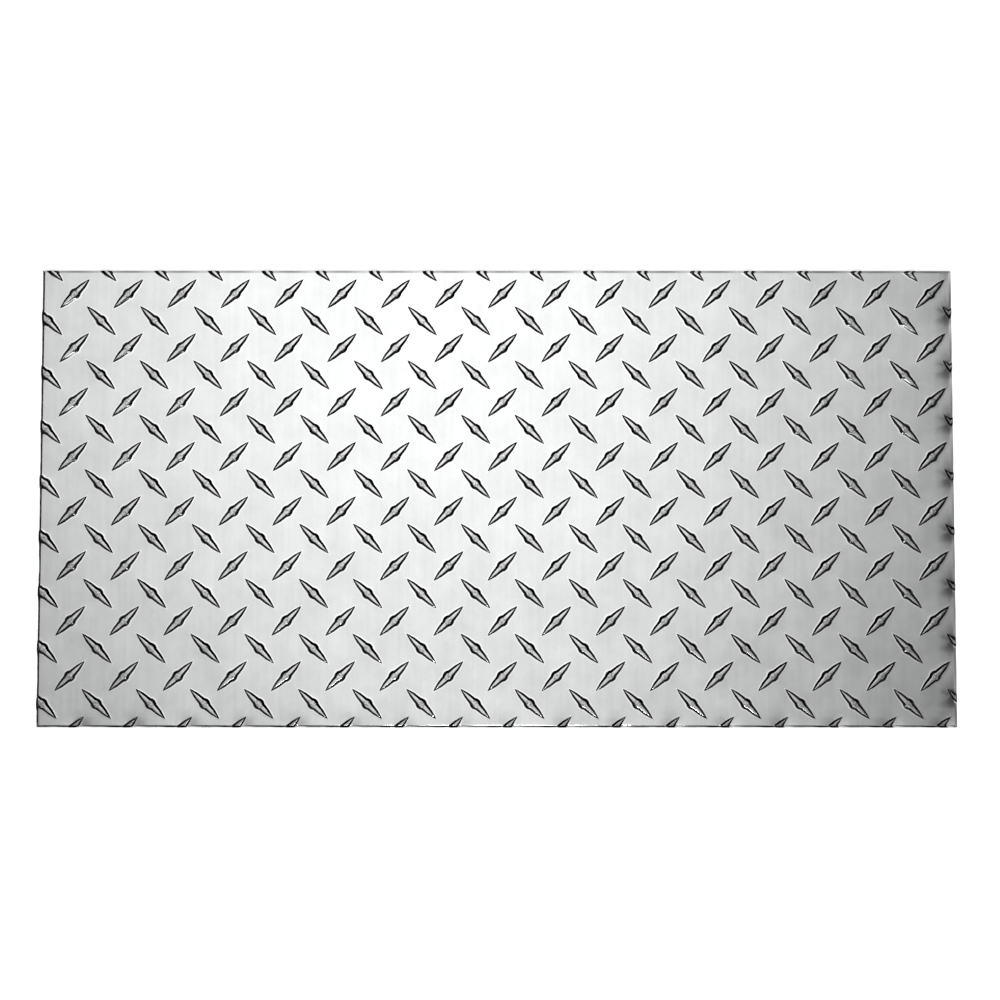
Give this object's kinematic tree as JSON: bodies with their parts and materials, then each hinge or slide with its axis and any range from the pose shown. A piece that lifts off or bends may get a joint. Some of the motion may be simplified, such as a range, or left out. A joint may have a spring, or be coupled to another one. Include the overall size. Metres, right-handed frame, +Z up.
{
  "type": "tread plate",
  "caption": "Flat rectangular aluminium sheet with a raised pattern of pointed lugs in two crossed directions on its top face and a plain back.",
  "frame": {"origin": "middle of the sheet's plain back face, which is its underside as it lies", "axes": "+X along the length, +Y across the width, +Z up through the sheet towards the lugs"},
  "size_m": [0.6096, 0.3048, 0.0026],
  "materials": {
    "aluminium": "bright mill finish, as rolled, with a faint grain across the width"
  },
  "bodies": {
    "root": {"tread_plate": "aluminium"}
  },
  "joints": []
}
